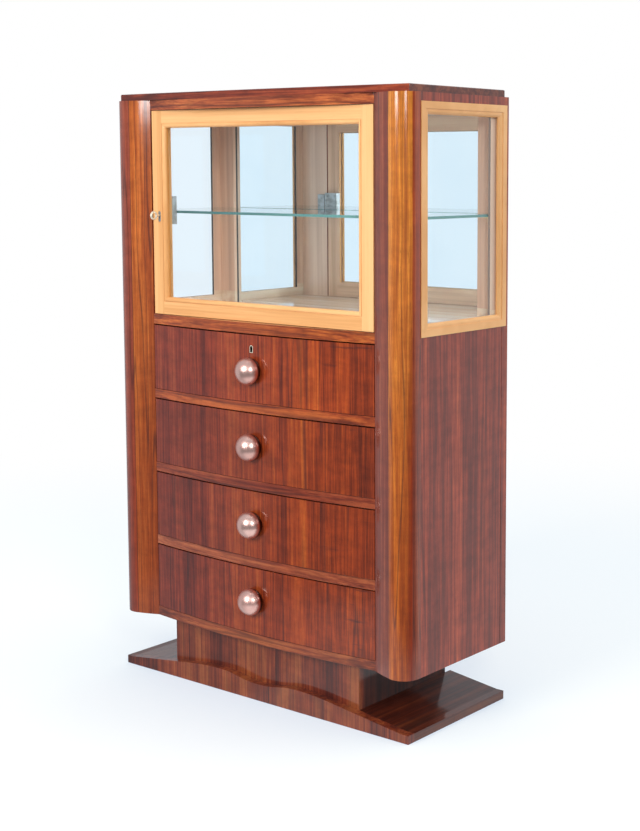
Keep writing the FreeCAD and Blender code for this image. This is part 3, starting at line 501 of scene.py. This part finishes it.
def vitrine_veneer(name):
    """The pale, brightly lacquered floor of the glazed part, its wood made paler as painted light.
    """
    tree = material_tree(name)
    shift = (5, 2, 1)
    tone, pores = wood_figure(tree, LEVEL_GRAIN, shift, 34, spread=0.10)[:2]
    colour = flawed(tree, wood_colour(tree, tone, FLOOR_WOOD_PAINTED_LIGHT), shift, 0.9, 1.0)
    return lacquered(tree, colour, pores, gloss=0.08, coat=1.0)


def plain_wood(name, grain, side_x=None):
    """Sanded wood of pieces out of sight; boards beyond side_x run from front to back."""
    tree = material_tree(name)
    shift, stripe = (1, 4, 2), 40
    tone, pores = wood_figure(tree, grain, shift, stripe)[:2]
    if side_x is not None:
        side_tone, side_pores = wood_figure(tree, DEPTH_GRAIN, shift, stripe)[:2]
        side = tree.above(tree.absolute(tree.parts(tree.position())[0]), side_x)
        tone, pores = tree.blend(side, tone, side_tone), tree.blend(side, pores, side_pores)
    colour = wood_colour(tree, tone, PLAIN)
    colour = tree.blend(tree.times(pores, PLAIN_PORE_SHARE), colour, PLAIN_PORE)
    normal = tree.bump(pores, OPEN_PORE_DEPTH, tree.eased(EDGE_EASE), 0.4)
    inputs = {"Base Color": colour, "Roughness": 0.62, "Normal": normal}
    return tree.show(tree.shader("BsdfPrincipled", inputs))


# Metal: depth of its marks and ease of its edges in metres, and its colours of painted shade. A
# face grows dark with painted shade as its direction's y goes through the first range. A wall of a
# hole faces the hole's middle, so the distance from the middle along its direction is below zero,
# and it grows dark with painted shade as that goes down through the second range.
SCRATCH_DEPTH = 0.00002
METAL_EASE = 0.0006
COPPER_PAINTED_SHADE = (0.09, 0.040, 0.032)
BACK_FADE = (-0.08, 0.20)
HOLE_PAINTED_SHADE = (0.02, 0.014, 0.010)
HOLE_FADE = (-0.0010, -0.0002)


def metal(name, colour, tarnish, roughness, grain=60, share=1.0, shaded_back=False, hole=None):
    """Polished metal with cloudy tarnish and fine rubbing marks.

    With shaded_back, faces turned back are painted dark, as painted shade. With hole, a point, so
    are the walls of the hole round that point.
    """
    tree = material_tree(name)
    cloud = tree.noise(tree.position(), grain, 4, 0.6)
    marks = tree.noise(tree.scaled(tree.position(), (1, 1, 0.2)), 900)
    shade = tree.blend(tree.fade(cloud, 0.35, 0.75), colour, tarnish)
    if shaded_back:
        # Painted shade on faces that turn back towards the drawer.
        behind = tree.fade(tree.parts(tree.facing())[1], *BACK_FADE)
        shade = tree.blend(behind, shade, COPPER_PAINTED_SHADE)
    if hole is not None:
        away = tree.vector_math("SUBTRACT", tree.position(), hole)["Vector"]
        level = tree.scaled(tree.facing(), (1, 0, 1))
        outward = tree.vector_math("DOT_PRODUCT", away, level)["Value"]
        # Painted shade on the walls of the keyhole.
        shade = tree.blend(tree.fade(outward, *HOLE_FADE, 1.0, 0.0), shade, HOLE_PAINTED_SHADE)
    scuffs = tree.math("ADD", cloud, tree.times(marks, 0.3))
    return tree.show(tree.shader("BsdfPrincipled", {
        "Base Color": shade,
        "Metallic": share,
        "Roughness": tree.fade(scuffs, 0.4, 0.9, *roughness),
        "Normal": tree.bump(marks, SCRATCH_DEPTH, tree.eased(METAL_EASE), 0.3),
    }))


def glazed(name, tint):
    """Clear glass that lets lamp light through."""
    tree = material_tree(name)
    haze = tree.noise(tree.position(), 14, 3, 0.6)
    glass = tree.shader("BsdfPrincipled", {
        "Base Color": tint,
        "Roughness": tree.fade(haze, 0.45, 0.8, 0.012, 0.02),
        "Transmission Weight": 1.0,
        "IOR": 1.30,
    })
    clear = tree.shader("BsdfTransparent", {"Color": (0.985, 0.98, 0.97)})
    path = tree.add("LightPath").outputs
    lit = tree.math("MAXIMUM", path["Is Shadow Ray"], path["Is Diffuse Ray"])
    return tree.show(tree.mix_shaders(lit, glass, clear))


# The green-blue of the shelf's edge at its left and right end, and of its ripples
EDGE_GREENS = ((0.045, 0.150, 0.145), (0.150, 0.370, 0.330))
RIPPLE_GREEN = (0.06, 0.20, 0.19)


def glass_edge(name):
    """The deep green-blue of a glass sheet seen along its edge, paler towards the right."""
    tree = material_tree(name)
    x = tree.parts(tree.position())[0]
    ripple = tree.noise(tree.scaled(tree.position(), (1, 1, 8)), 90, 2, 0.6)
    colour = tree.blend(tree.fade(x, -0.25, 0.3), *EDGE_GREENS)
    return tree.show(tree.shader("BsdfPrincipled", {
        "Base Color": tree.blend(tree.times(ripple, 0.4), colour, RIPPLE_GREEN),
        "Roughness": tree.fade(ripple, 0.3, 0.7, 0.18, 0.32),
        "Specular IOR Level": 0.4,
    }))


def silvered(name):
    """Old mirror glass: a clean reflection with a faint cool cast."""
    tree = material_tree(name)
    cloud = tree.fade(tree.noise(tree.position(), 7, 3, 0.6), 0.3, 0.8)
    colour = tree.blend(cloud, (0.88, 0.965, 1.0), (0.84, 0.94, 0.985))
    inputs = {"Base Color": colour, "Metallic": 1.0, "Roughness": 0.0}
    return tree.show(tree.shader("BsdfPrincipled", inputs))


def dress(material, *names):
    """Give every face of some CAD nodes one material."""
    for name in names:
        mesh = NODES[name].data
        mesh.materials.clear()
        mesh.materials.append(material)
        for face in mesh.polygons:
            face.material_index = 0


def dress_edges(material, name):
    """Give the upright faces of a flat sheet a second material."""
    mesh = NODES[name].data
    mesh.materials.append(material)
    for face in mesh.polygons:
        face.material_index = int(abs(face.normal.z) < TURNED)


# Each rosewood veneer: its name, wood, tint, grain, shift, scale of its stripes, strength of
# its dark lines, and pieces
VENEERS = (
    ("case_veneer", PURPLE_WOOD, (1.44, 1.24, 1.04), UPRIGHT_GRAIN, (0, 0, 0), 100, 0.35,
     ("side_left", "side_right", "rear_post_left", "rear_post_right", "case_top")),
    ("plinth_veneer", ROSEWOOD, (0.55, 0.54, 0.66), UPRIGHT_GRAIN, (4, 0, 0), 130, 0.4,
     ("plinth_front", "base_fascia")),
    # Plinth sides and back: rosewood darkened far below the front, as painted shade under the case.
    ("plinth_side_shaded_veneer", ROSEWOOD, (0.16, 0.11, 0.13), UPRIGHT_GRAIN, (4, 2, 0), 85, 0.5,
     ("plinth_sides", "plinth_back")),
    # Wings and base board: rosewood darkened, as painted shade under the case's overhang.
    ("wing_shaded_veneer", ROSEWOOD, (0.23, 0.22, 0.29), DEPTH_GRAIN, (7, 0, 2), 70, 0.5,
     ("base_wing_left", "base_wing_right", "base_board")),
    ("header_veneer", RAIL_WOOD, (1.6, 2.3, 1.9), LEVEL_GRAIN, (5, 0, 1), 110, 0.5,
     ("header_rail",)),
    ("sill_veneer", RAIL_WOOD, (1.56, 2.07, 1.24), LEVEL_GRAIN, (9, 3, 2), 110, 0.5,
     ("sill_rail",)),
    ("low_rail_veneer", RAIL_WOOD, (0.96, 1.25, 1.14), LEVEL_GRAIN, (6, 3, 8), 110, 0.5,
     ("bottom_rail",)),
    ("rail_veneer_1", RAIL_WOOD, (1.22, 1.36, 0.95), LEVEL_GRAIN, (1.7, 3, 1), 95, 0.5,
     ("drawer_rail_1",)),
    ("rail_veneer_2", RAIL_WOOD, (0.80, 0.80, 0.86), LEVEL_GRAIN, (3.4, 3, 2), 95, 0.5,
     ("drawer_rail_2",)),
    ("rail_veneer_3", RAIL_WOOD, (1.05, 1.41, 1.56), LEVEL_GRAIN, (5.1, 3, 3), 95, 0.5,
     ("drawer_rail_3",)),
)

# The tint of the top slab's faces that look left or right: another leaf, made greyer
# and bluer as painted reflection of the white studio
SLAB_END_LEAF_AND_REFLECTION = (0.60, 0.75, 0.90)

# How pale the face of each drawer is, by its number, and how far its figure is from the last
FRONT_LEVELS = (1.14, 0.97, 0.97, 1.0)
FRONT_STEP = 0.012

# Each metal's colour and tarnish: brass that is seen outside, other brass, copper and steel
SHOWN_BRASS = ((1.0, 0.96, 0.80), (0.97, 0.88, 0.64))
INNER_BRASS = ((0.87, 0.70, 0.36), (0.62, 0.46, 0.20))
COPPER = ((0.92, 0.61, 0.54), (0.80, 0.46, 0.40))
STEEL = ((0.52, 0.53, 0.53), (0.34, 0.33, 0.30))


def numbered(name):
    """The four drawers' nodes of one name."""
    return ["%s_%d" % (name, number) for number in range(1, 5)]


def dress_columns():
    """Give each round column its own veneer, as painted light and painted reflection."""
    # Faces turned right take orange wood and faces turned left purple wood, as painted light and
    # painted reflection.
    column = column_veneer(
        "column_veneer_left", -1,
        toned(PURPLE_WOOD, (1.18, 1.15, 1.0)), toned(ORANGE_WOOD, (1.05, 0.90, 0.68)),
        edge_painted_shade=WHITE,
        side_painted_light=((0.78, 0.73, 1.9), (0.70, 0.46, 0.57)),
        flank_painted_light=((0.60, 0.45, 0.40), (1.12, 1.15, 1.10)),
    )
    dress(column, "pilaster_left")
    column = column_veneer(
        "column_veneer_right", 1,
        toned(ORANGE_WOOD, (1.30, 1.42, 0.80)), toned(FLANK_WOOD, (0.67, 0.41, 0.32)),
        edge_painted_shade=(0.46, 0.18, 0.09),
        side_painted_light=((1.05, 1.0, 0.85), (1.75, 1.60, 0.70)),
        flank_painted_light=(WHITE, WHITE),
    )
    dress(column, "pilaster_right")


def dress_wood():
    """Hand out the woods to the carried-over pieces."""
    for name, wood, tint, grain, shift, stripe, lines, pieces in VENEERS:
        dress(veneer(name, toned(wood, tint), grain, shift, stripe, lines), *pieces)
    slab = veneer("slab_veneer", RAIL_WOOD, LEVEL_GRAIN, (2, 0, 5), 110, end_leaf_and_reflection=SLAB_END_LEAF_AND_REFLECTION)
    dress(slab, "top_slab")
    dress_columns()
    for number, level in enumerate(FRONT_LEVELS, 1):
        shift = (0.4, 0, number * FRONT_STEP)
        dress(front_veneer("front_veneer_%d" % number, shift, level), "drawer_front_%d" % number)
    dress(maple("maple_upright", UPRIGHT_GRAIN), "door_stile_left", "door_stile_right")
    dress(maple("maple_level", LEVEL_GRAIN, (1, 1, 3)), "door_rail_top", "door_rail_bottom")
    deep = (MOULDING_LOW.y + FADE_START, MOULDING_HIGH.y)
    dress(maple("maple_moulding", MOULDING_GRAIN, (2, 2, 2), deep), "door_moulding")
    dress(maple("maple_bead", MOULDING_GRAIN, (4, 2, 2)), "door_glass_bead")
    dress(maple("maple_frame", FRAME_GRAIN, (3, 1, 2), side=True),
          "side_frame_left", "side_frame_right")
    dress(pale_lining("lining_veneer"), "window_linings")
    dress(vitrine_veneer("floor_veneer"), "vitrine_floor")
    dress(plain_wood("plain_level", LEVEL_GRAIN), "case_bottom")
    dress(plain_wood("box_wood", LEVEL_GRAIN, BOX_INSIDE_X), *numbered("drawer_box"))
    dress(plain_wood("plain_depth", DEPTH_GRAIN), "drawer_runners")
    dress(plain_wood("plain_upright", UPRIGHT_GRAIN), "back_panel")


def dress_glass_and_metal():
    """Hand out the glass and the metals to the carried-over pieces."""
    dress(glazed("pane_glass", (0.90, 0.96, 1.0)),
          "door_glass", "side_glass_left", "side_glass_right")
    dress(glazed("shelf_sheet", (0.90, 0.97, 0.96)), "shelf_glass")
    dress_edges(glass_edge("shelf_edge"), "shelf_glass")
    dress(silvered("mirror_silver"), "mirror")
    dress(metal("old_brass", *INNER_BRASS, (0.22, 0.42)), "shelf_studs",
          "hinge_case_plates", "hinge_door_plates", "door_lock_bolt", "drawer_lock_bolt")
    dress(metal("pale_brass", *SHOWN_BRASS, (0.24, 0.39), share=0.5), "door_key")
    low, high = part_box("drawer_escutcheon")
    centre = tuple((low + high) / 2)
    dress(metal("escutcheon_brass", *SHOWN_BRASS, (0.24, 0.39), share=0.5, hole=centre),
          "drawer_escutcheon")
    dress(metal("knob_copper", *COPPER, (0.26, 0.38), grain=28, shaded_back=True),
          *numbered("drawer_knob"))
    dress(metal("lock_steel", *STEEL, (0.30, 0.55)), "door_lock_case", "drawer_lock")


def mesh_piece(name, body, material, shape):
    """Make a piece from a mesh in the frame and let it ride on a body."""
    mesh = bpy.data.meshes.new(name)
    shape.normal_update()
    shape.to_mesh(mesh)
    shape.free()
    mesh.materials.append(material)
    piece = bpy.data.objects.new(name, mesh)
    bpy.context.scene.collection.objects.link(piece)
    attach(piece, body)


# How much the edges of a bar are eased, in metres
BAR_EASE = 0.0003


def add_bar(shape, outline, low_z, high_z):
    """Add an upright bar of a given outline, with eased edges."""
    rings = [[shape.verts.new((x, y, z)) for x, y in outline] for z in (low_z, high_z)]
    count = len(outline)
    faces = [shape.faces.new(rings[0][::-1]), shape.faces.new(rings[1])]
    for number in range(count):
        following = (number + 1) % count
        faces.append(shape.faces.new((rings[0][number], rings[0][following],
                                      rings[1][following], rings[1][number])))
    bmesh.ops.recalc_face_normals(shape, faces=faces)
    edges = dict.fromkeys(edge for face in faces for edge in face.edges)
    bmesh.ops.bevel(shape, geom=list(edges), offset=BAR_EASE, segments=2, profile=0.5,
                    affect="EDGES")


# A screw head's radius in metres, and as shares of it: the rings of its dome, each a radius
# and a height, the half width and depth of its slot, and how far the dome stands out
SCREW_RADIUS = 0.0032
SCREW_RINGS = ((1.0, 0.0), (0.96, 0.35), (0.75, 0.62), (0.40, 0.80), (0.12, 0.86))
SCREW_STEPS = 20
SLOT_HALF = 0.14
SLOT_DEPTH = 0.30
DOME = 0.5


def add_screw(shape, x, y, z):
    """Add a domed, slotted screw head that faces +Y."""
    rows = []
    for share, lift in SCREW_RINGS:
        row = []
        for step in range(SCREW_STEPS):
            angle = 2 * math.pi * step / SCREW_STEPS
            across = share * math.cos(angle)
            slotted = abs(across) < SLOT_HALF and lift > SLOT_DEPTH
            height = lift - SLOT_DEPTH if slotted else lift
            row.append(shape.verts.new((
                x + SCREW_RADIUS * across,
                y + SCREW_RADIUS * DOME * height,
                z + SCREW_RADIUS * share * math.sin(angle),
            )))
        rows.append(row)
    for inner, outer in zip(rows[1:], rows):
        for step in range(SCREW_STEPS):
            following = (step + 1) % SCREW_STEPS
            shape.faces.new((outer[step], outer[following], inner[following], inner[step]))
    shape.faces.new(rows[0][::-1])
    shape.faces.new(rows[-1])


# The door lock's keeper in metres: its wall, the room round the bolt, the distances from the
# column's edge of its two sides, how far it stays inside the lock's ends, and how far the
# screws are from its ends and from the lock case's sides
KEEPER_WALL = 0.0014
KEEPER_ROOM = 0.0012
KEEPER_REACH = 0.024
KEEPER_FROM_EDGE = 0.0006
KEEPER_SHORTER = 0.004
KEEPER_SCREW_INSET = 0.009
LOCK_SCREW_INSET = 0.008


def make_lock_keeper():
    """The box on the left column's back that the door's bolt shoots into, with its screws."""
    steel = bpy.data.materials["lock_steel"]
    lock_low, lock_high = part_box("door_lock_case")
    bolt_low, bolt_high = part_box("door_lock_bolt")
    column_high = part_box("pilaster_left")[1]
    low_x, high_x = column_high.x - KEEPER_REACH, column_high.x - KEEPER_FROM_EDGE
    low_z, high_z = lock_low.z + KEEPER_SHORTER, lock_high.z - KEEPER_SHORTER
    back_y = column_high.y
    cover_y = bolt_high.y + KEEPER_ROOM
    deep_y = cover_y + KEEPER_WALL
    wall_x = low_x + KEEPER_WALL
    shape = bmesh.new()
    cover = [(low_x, cover_y), (low_x, deep_y), (high_x, deep_y), (high_x, cover_y)]
    add_bar(shape, cover, low_z, high_z)
    end = [(low_x, back_y), (low_x, cover_y), (wall_x, cover_y), (wall_x, back_y)]
    add_bar(shape, end, low_z, high_z)
    block = [(wall_x, back_y), (wall_x, cover_y), (high_x, cover_y), (high_x, back_y)]
    add_bar(shape, block, low_z, bolt_low.z - KEEPER_ROOM)
    add_bar(shape, block, bolt_high.z + KEEPER_ROOM, high_z)
    for z in (low_z + KEEPER_SCREW_INSET, high_z - KEEPER_SCREW_INSET):
        add_screw(shape, low_x + KEEPER_REACH / 2, deep_y, z)
    mesh_piece("lock_keeper", "cabinet", steel, shape)
    shape = bmesh.new()
    for x in (lock_low.x + LOCK_SCREW_INSET, lock_high.x - LOCK_SCREW_INSET):
        for z in (lock_low.z + LOCK_SCREW_INSET, lock_high.z - LOCK_SCREW_INSET):
            add_screw(shape, x, lock_high.y, z)
    mesh_piece("door_lock_screws", "door", steel, shape)


# The eye sees a white studio. Light and reflections come from white walls, greyer on the left,
# with a dark part in front. Its middle is at an azimuth from straight ahead of the cabinet
# towards its right. Heights and edges are parts of a direction of unit length.
STUDIO_AZIMUTH = math.radians(37)
STUDIO_FRONT = (math.sin(STUDIO_AZIMUTH), -math.cos(STUDIO_AZIMUTH), 0)
FRONT_EDGE = (0.12, 0.42)
DARK_HEIGHTS = (0.14, 0.36)
DARK_SHARE_ABOVE = 0.55
WHITE_WALL = (0.95, 0.97, 1.0)
LEFT_WALL = (0.56, 0.57, 0.60)
LEFT_WALL_EDGE = (-0.55, 0.0)
DARK_FRONT = (0.14, 0.14, 0.15)
WALL_LEVEL = 1.3
CEILING_LEVEL = 1.5
CEILING_HEIGHTS = (0.2, 0.7)

# The floor, in metres from the cabinet's middle: how far out it takes the shadow that the eye
# sees, and how far out its dark front begins for reflections and for the light it gives back
FLOOR_SPAN = 30
FLOOR_Z = -0.0005
SHADOW_REACH = (1.2, 3.2)
DARK_FLOOR_START = (0.8, 1.2)
FLOOR_SHADE = (0.66, 0.58, 0.40)
FLOOR_GLOW = (0.21, 0.345, 0.56)
FLOOR_FRONT = (0.26, 0.26, 0.27)
FLOOR_ALBEDO = (0.55, 0.56, 0.58)
FLOOR_FRONT_ALBEDO = (0.15, 0.15, 0.155)


def front_share(tree, direction):
    """How much of the dark front of the studio lies in a direction of unit length."""
    toward = tree.vector_math("DOT_PRODUCT", direction, STUDIO_FRONT)["Value"]
    return tree.fade(toward, *FRONT_EDGE)


def wall_colour(tree, direction):
    """The white walls of the studio, greyer on the left."""
    x = tree.parts(direction)[0]
    return tree.blend(tree.fade(x, *LEFT_WALL_EDGE), LEFT_WALL, WHITE_WALL)


def show_by_ray(tree, lighting, mirrored, seen, output):
    """Give light, glossy reflections and the eye a shader each.

    The eye looks straight, through glass or in the mirror.
    """
    path = tree.add("LightPath").outputs
    straight = tree.math("MAXIMUM", path["Is Camera Ray"], path["Is Transmission Ray"])
    eye = tree.math("MAXIMUM", straight, path["Is Singular Ray"])
    unseen = tree.mix_shaders(path["Is Glossy Ray"], lighting, mirrored)
    return tree.show(tree.mix_shaders(eye, unseen, seen), output)


def make_floor():
    """A wide white floor that takes the cabinet's soft shadow."""
    mesh = bpy.data.meshes.new("studio_floor")
    square = ((-1, -1), (1, -1), (1, 1), (-1, 1))
    corners = [(x * FLOOR_SPAN, y * FLOOR_SPAN, FLOOR_Z) for x, y in square]
    mesh.from_pydata(corners, [], [(0, 1, 2, 3)])
    floor = bpy.data.objects.new("studio_floor", mesh)
    bpy.context.scene.collection.objects.link(floor)
    tree = material_tree("studio_floor")
    outward = tree.vector_math("NORMALIZE", tree.position())["Vector"]
    distance = tree.vector_math("LENGTH", tree.position())["Value"]
    near = tree.fade(distance, *SHADOW_REACH, 1.0, 0.0)
    shade = tree.shader("BsdfDiffuse", {"Color": tree.blend(near, BLACK, FLOOR_SHADE)})
    glow = tree.shader("Emission", {"Color": tree.blend(near, WHITE, FLOOR_GLOW)})
    seen = tree.add("AddShader", {0: shade, 1: glow}).outputs[0]
    dark = tree.times(front_share(tree, outward), tree.fade(distance, *DARK_FLOOR_START))
    walls = wall_colour(tree, outward)
    mirrored = tree.shader("Emission", {"Color": tree.blend(dark, walls, FLOOR_FRONT)})
    albedo = tree.blend(dark, FLOOR_ALBEDO, FLOOR_FRONT_ALBEDO)
    lighting = tree.shader("BsdfDiffuse", {"Color": albedo})
    mesh.materials.append(show_by_ray(tree, lighting, mirrored, seen, "OutputMaterial"))


def make_world():
    """White all round to the eye; walls with a dark front to light and reflections."""
    world = bpy.data.worlds.new("studio")
    bpy.context.scene.world = world
    tree = Tree(world)
    direction = tree.add("TexCoord").outputs["Generated"]
    height = tree.parts(direction)[2]
    lower = tree.fade(height, *DARK_HEIGHTS, 1.0, DARK_SHARE_ABOVE)
    dark = tree.times(front_share(tree, direction), lower)
    walls = tree.blend(dark, wall_colour(tree, direction), DARK_FRONT)
    strength = tree.fade(height, *CEILING_HEIGHTS, WALL_LEVEL, CEILING_LEVEL)
    lighting = tree.shader("Background", {"Color": walls, "Strength": strength})
    mirrored = tree.shader("Background", {"Color": walls})
    seen = tree.shader("Background", {"Color": WHITE})
    show_by_ray(tree, lighting, mirrored, seen, "OutputWorld")


# The soft boxes, in metres
LAMP_DISTANCE = 3.5
LAMP_HEIGHT = 2.0
LAMP_TALL = 1.1
LAMP_AIM = Vector((0, 0, 0.9))


def make_lamp(name, azimuth, width, level):
    """A soft box that gives a facing white surface at the cabinet a given share of full white."""
    angle = math.radians(azimuth)
    level_spot = (LAMP_DISTANCE * math.sin(angle), -LAMP_DISTANCE * math.cos(angle))
    spot = Vector((*level_spot, LAMP_HEIGHT))
    data = bpy.data.lights.new(name, "AREA")
    data.shape = "RECTANGLE"
    data.size = width
    data.size_y = LAMP_TALL
    data.energy = level * (math.pi * LAMP_DISTANCE) ** 2
    lamp = bpy.data.objects.new(name, data)
    bpy.context.scene.collection.objects.link(lamp)
    lamp.location = spot
    lamp.rotation_mode = "QUATERNION"
    lamp.rotation_quaternion = (LAMP_AIM - spot).to_track_quat("-Z", "Y")
    lamp.visible_camera = False


def make_lamps():
    """One soft box a little to the left of straight ahead, and a weaker one to the right."""
    make_lamp("soft_box_left", azimuth=-3, width=1.25, level=0.60)
    make_lamp("soft_box_right", azimuth=52, width=0.8, level=0.33)


def make_camera():
    """The camera at the photograph's viewpoint."""
    yaw, pitch, roll = map(math.radians, (CAMERA_YAW, CAMERA_PITCH, CAMERA_ROLL))
    reach = math.cos(pitch)
    forward = Vector((-math.sin(yaw) * reach, math.cos(yaw) * reach, -math.sin(pitch)))
    level = Vector((math.cos(yaw), math.sin(yaw), 0))
    upward = level.cross(forward)
    right = math.cos(roll) * level + math.sin(roll) * upward
    up = -math.sin(roll) * level + math.cos(roll) * upward
    data = bpy.data.cameras.new("camera")
    data.sensor_width = SENSOR
    data.lens = FOCAL_PIXELS * SENSOR / PHOTO_HEIGHT
    data.shift_x = (PHOTO_WIDTH / 2 - AXIS_PIXEL[0]) / PHOTO_HEIGHT
    data.shift_y = (AXIS_PIXEL[1] - PHOTO_HEIGHT / 2) / PHOTO_HEIGHT
    camera = bpy.data.objects.new("camera", data)
    bpy.context.scene.collection.objects.link(camera)
    turn = Matrix((right, up, -forward)).transposed()
    camera.matrix_world = Matrix.Translation(CAMERA_SPOT) @ turn.to_4x4()
    bpy.context.scene.camera = camera


dress_wood()
dress_glass_and_metal()
make_lock_keeper()
make_floor()
make_world()
make_lamps()
make_camera()
bpy.context.scene.view_settings.view_transform = "Standard"
